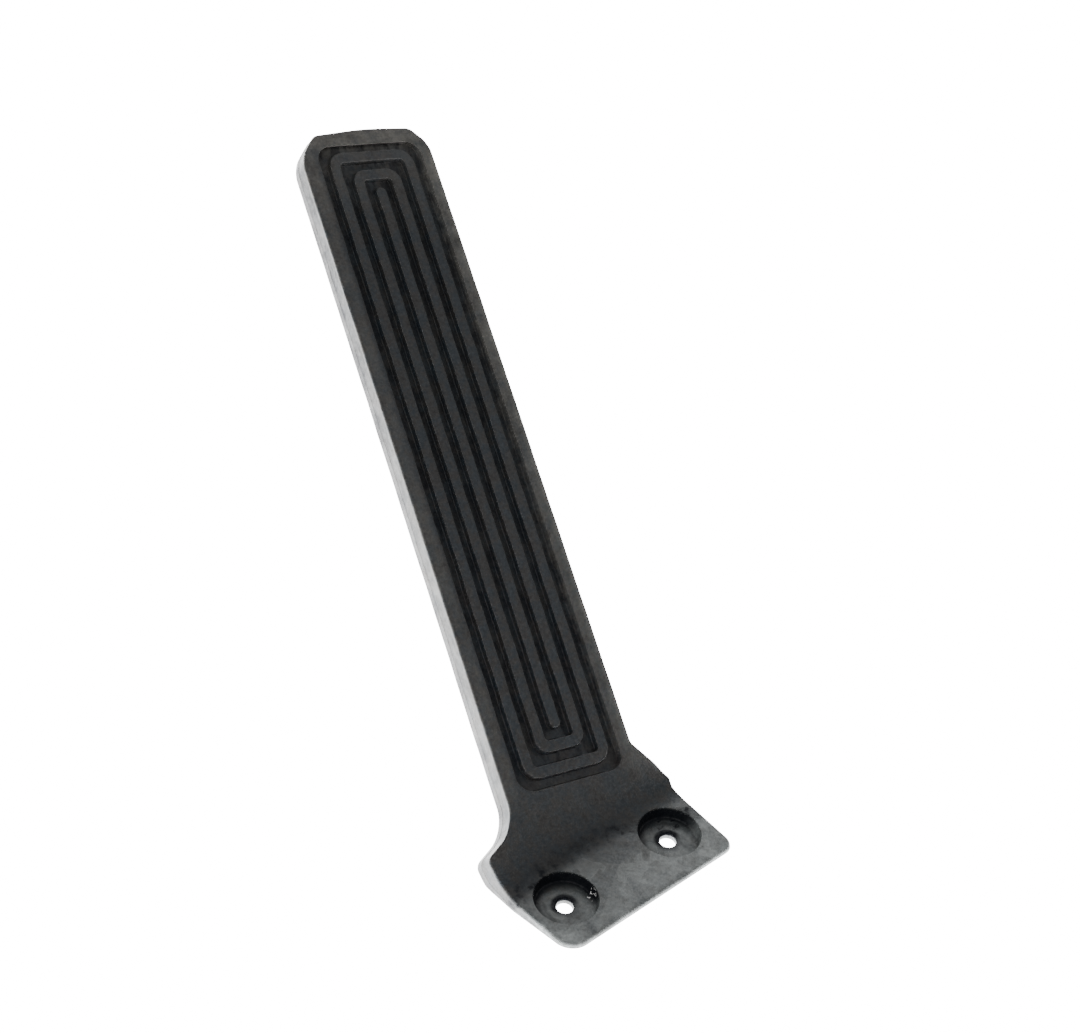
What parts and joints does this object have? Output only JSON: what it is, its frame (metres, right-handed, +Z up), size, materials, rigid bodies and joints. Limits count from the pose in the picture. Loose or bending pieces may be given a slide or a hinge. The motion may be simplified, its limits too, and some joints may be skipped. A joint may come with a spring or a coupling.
{
  "type": "accelerator pedal",
  "caption": "Floor-mounted accelerator pedal moulded in black rubber: a screwed-down foot, a flexing web and a long leaning pad with a ribbed tread.",
  "frame": {"origin": "on the foot's flat underside, midway between its two screw holes", "axes": "+Z up, square to the foot's underside; +X along the line of the two screw holes, to the side that the pad leans to; +Y from the foot's free edge towards the pad"},
  "size_m": [0.1164, 0.2386, 0.1403],
  "materials": {
    "foot_rubber": "matt moulded black rubber, lightly scuffed",
    "web_rubber": "matt moulded black rubber",
    "tread_rubber": "matt moulded black rubber with sharp ribs"
  },
  "bodies": {
    "mounting_foot": {"mounting_foot": "foot_rubber", "flex_web": "web_rubber"},
    "tread_pad": {"tread_pad": "tread_rubber"}
  },
  "joints": [
    {"name": "pedal_flex", "type": "hinge", "parent": "mounting_foot", "child": "tread_pad", "pos_m": [0, 0.01611, 0.00374], "axis": [-1, 0, 0], "range_deg": [-5, 20], "stiffness_Nm_per_rad": 5, "springref_deg": -1.35, "deforming": ["flex_web"]}
  ]
}
